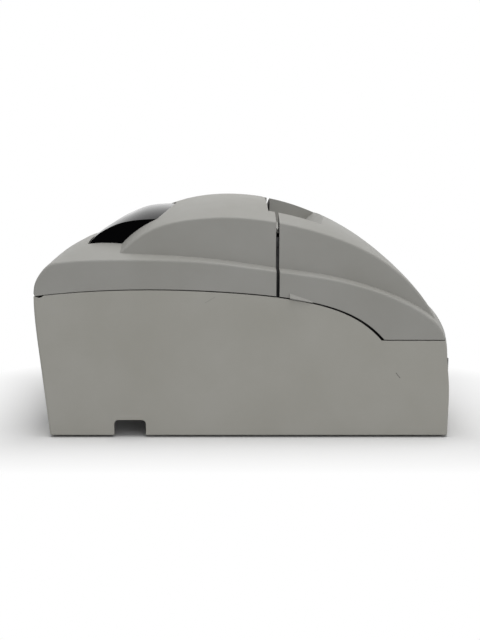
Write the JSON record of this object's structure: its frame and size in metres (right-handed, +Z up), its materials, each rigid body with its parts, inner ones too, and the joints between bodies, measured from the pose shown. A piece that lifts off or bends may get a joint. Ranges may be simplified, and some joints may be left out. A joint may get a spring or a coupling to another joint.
{
  "type": "receipt printer",
  "caption": "Impact receipt printer with a hinged roll cover, smoked roll window, hinged front cover, ribbon cassette, sliding print head and a tear bar at the paper exit.",
  "frame": {"origin": "middle of the footprint's bounding box at the level of the feet", "axes": "+X to the front where the paper tears off, +Y to the side of the feed button, +Z up"},
  "size_m": [0.248, 0.16, 0.1384],
  "materials": {
    "case_plastic": "fine grain",
    "smoke_plastic": "polished",
    "black_plastic": "moulded",
    "dark_plastic": "moulded",
    "sheet_steel": "zinc plated",
    "black_steel": "black coat",
    "bright_steel": "ground",
    "cast_alloy": "as cast",
    "rubber": "matt",
    "gear_plastic": "moulded",
    "board": "solder mask",
    "lamp": "clear",
    "ribbon": "inked",
    "panel_film": "printed film",
    "button_plastic": "moulded"
  },
  "bodies": {
    "base": {"lower_case": "case_plastic", "hinge_pins": "bright_steel", "bracket_spacers": "bright_steel", "motor_plate": "sheet_steel", "feed_motor": "sheet_steel", "gear_stud": "bright_steel", "left_frame": "black_steel", "right_frame": "black_steel", "tear_bar": "bright_steel", "platen": "sheet_steel", "guide_shaft": "bright_steel", "guide_rail": "sheet_steel", "deck_plate": "sheet_steel", "carriage_belt": "rubber", "carriage_motor": "sheet_steel", "ribbon_cassette": "black_plastic", "ribbon_band": "ribbon", "ribbon_bridge": "sheet_steel", "roll_bucket": "dark_plastic", "paper_chute": "dark_plastic", "data_port": "sheet_steel", "drawer_port": "black_plastic", "power_inlet": "black_plastic", "port_jackscrews": "bright_steel", "earth_screw": "bright_steel", "cable_bay": "dark_plastic", "bottom_plate": "sheet_steel", "bottom_screws": "bright_steel", "main_board": "board", "board_standoffs": "bright_steel", "board_screws": "bright_steel", "board_chips": "black_plastic", "board_capacitors": "dark_plastic", "deck_posts": "sheet_steel", "rubber_feet": "rubber", "control_panel": "panel_film", "status_lamps": "lamp", "panel_board": "board", "key_switch": "black_plastic", "switch_bezel": "black_plastic"},
    "roll_cover": {"roll_cover": "case_plastic", "roll_window": "smoke_plastic", "pressure_bracket": "dark_plastic"},
    "pressure_roller": {"pressure_shaft": "bright_steel", "pressure_sleeves": "rubber"},
    "front_cover": {"front_cover": "case_plastic"},
    "carriage": {"carriage": "black_plastic", "print_head": "cast_alloy"},
    "drive_pulley": {"drive_pulley": "bright_steel"},
    "idler_pulley": {"idler_pulley": "gear_plastic"},
    "feed_roller": {"feed_shaft": "bright_steel", "feed_rubbers": "rubber", "feed_gear": "gear_plastic"},
    "idler_gear": {"idler_gear": "gear_plastic"},
    "feed_pinion": {"feed_pinion": "bright_steel"},
    "ribbon_spindle": {"ribbon_spindle": "gear_plastic"},
    "ribbon_knob": {"ribbon_knob": "dark_plastic"},
    "near_end_lever": {"near_end_lever": "black_plastic"},
    "feed_button": {"feed_button": "button_plastic"},
    "power_rocker": {"power_rocker": "black_plastic"}
  },
  "joints": [
    {"name": "roll_cover_hinge", "type": "hinge", "parent": "base", "child": "roll_cover", "pos_m": [-0.1209, 0, 0.0849], "axis": [0, -1, 0], "range_deg": [0, 90]},
    {"name": "front_cover_hinge", "type": "hinge", "parent": "base", "child": "front_cover", "pos_m": [0.1152, 0, 0.0605], "axis": [0, 1, 0], "range_deg": [0, 80]},
    {"name": "carriage_slide", "type": "slide", "parent": "base", "child": "carriage", "axis": [0, 1, 0], "range_m": [-0.029, 0.029]},
    {"name": "drive_pulley_spin", "type": "hinge", "parent": "base", "child": "drive_pulley", "pos_m": [0.07201, 0.026, 0.05454], "axis": [0, 0, 1], "range_deg": [-450, 450]},
    {"name": "idler_pulley_spin", "type": "hinge", "parent": "base", "child": "idler_pulley", "pos_m": [0.07201, -0.06, 0.05454], "axis": [0, 0, 1], "range_deg": [-450, 450]},
    {"name": "feed_roller_spin", "type": "hinge", "parent": "base", "child": "feed_roller", "pos_m": [0.01701, -0.017, 0.10701], "axis": [0, 1, 0], "continuous": true},
    {"name": "idler_gear_spin", "type": "hinge", "parent": "base", "child": "idler_gear", "pos_m": [0.036, 0.036, 0.08781], "axis": [0, 1, 0], "continuous": true},
    {"name": "feed_pinion_spin", "type": "hinge", "parent": "base", "child": "feed_pinion", "pos_m": [0.04001, 0.036, 0.0672], "axis": [0, 1, 0], "continuous": true},
    {"name": "pressure_roller_spin", "type": "hinge", "parent": "roll_cover", "child": "pressure_roller", "pos_m": [0.00631, -0.017, 0.10701], "axis": [0, 1, 0], "continuous": true},
    {"name": "ribbon_spindle_spin", "type": "hinge", "parent": "base", "child": "ribbon_spindle", "pos_m": [0.06717, 0.007, 0.07567], "axis": [0.4352, 0, 0.9003], "continuous": true},
    {"name": "ribbon_knob_spin", "type": "hinge", "parent": "base", "child": "ribbon_knob", "pos_m": [0.06717, 0.007, 0.07567], "axis": [0.4352, 0, 0.9003], "continuous": true},
    {"name": "near_end_lever_tilt", "type": "hinge", "parent": "base", "child": "near_end_lever", "pos_m": [-0.06203, 0.026, 0.0555], "axis": [0, 1, 0], "range_deg": [0, 15], "stiffness_Nm_per_rad": 0.004, "springref_deg": -5.73},
    {"name": "feed_button_press", "type": "slide", "parent": "base", "child": "feed_button", "axis": [-1, 0, 0], "range_m": [0, 0.0012], "stiffness_N_per_m": 500},
    {"name": "power_rocker_tilt", "type": "hinge", "parent": "base", "child": "power_rocker", "pos_m": [0.11907, -0.02262, 0.03], "axis": [0, -1, 0], "range_deg": [0, 18]}
  ],
  "couplings": [
    {"joint": "drive_pulley_spin", "follows": "carriage_slide", "rad_per_m": -222.22},
    {"joint": "idler_pulley_spin", "follows": "carriage_slide", "rad_per_m": -222.22},
    {"joint": "idler_gear_spin", "follows": "feed_roller_spin", "ratio": -0.8},
    {"joint": "feed_pinion_spin", "follows": "feed_roller_spin", "ratio": 2},
    {"joint": "pressure_roller_spin", "follows": "feed_roller_spin", "ratio": -1.1702},
    {"joint": "ribbon_spindle_spin", "follows": "ribbon_knob_spin", "ratio": 1}
  ]
}
